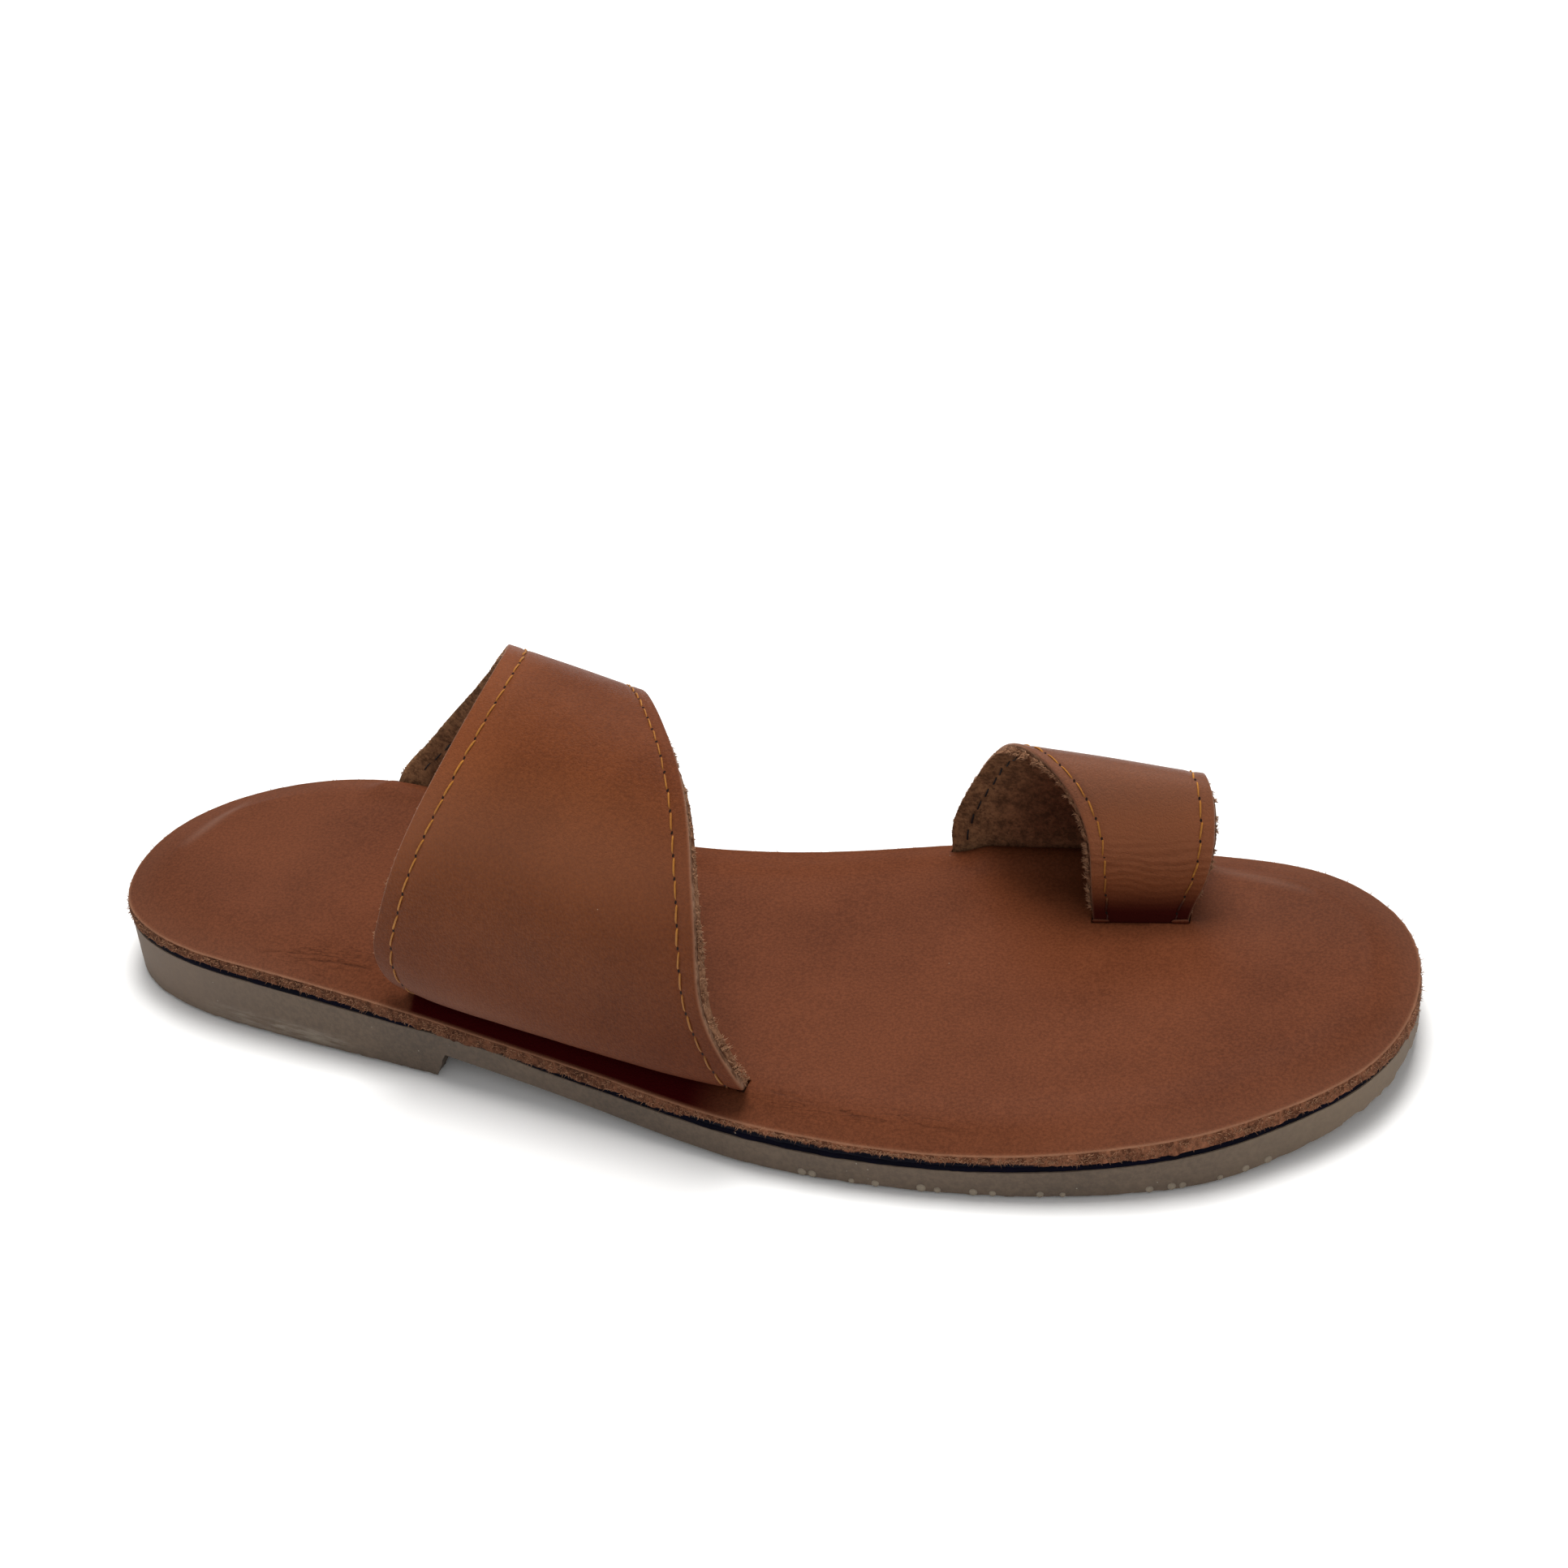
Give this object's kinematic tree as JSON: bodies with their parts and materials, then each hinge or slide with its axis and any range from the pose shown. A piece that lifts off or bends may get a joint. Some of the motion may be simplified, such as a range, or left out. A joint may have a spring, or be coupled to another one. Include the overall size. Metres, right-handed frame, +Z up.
{
  "type": "slide sandal",
  "caption": "Flat leather slide sandal for the right foot: padded footbed on a low-heeled rubber sole, wide instep strap and a fan-shaped loop round the big toe.",
  "frame": {"origin": "on the floor under the middle of the sole's outline", "axes": "+X to the toe, +Y to the medial side (the big toe's side), +Z up"},
  "size_m": [0.256, 0.0966, 0.07],
  "materials": {
    "rubber": "matte taupe moulded rubber",
    "dark_layer": "navy-black layer",
    "leather": "satin cognac leather with a suede lining"
  },
  "bodies": {
    "root": {"outsole": "rubber", "midsole": "dark_layer", "footbed": "leather", "instep_strap": "leather", "toe_loop": "leather"}
  },
  "joints": []
}
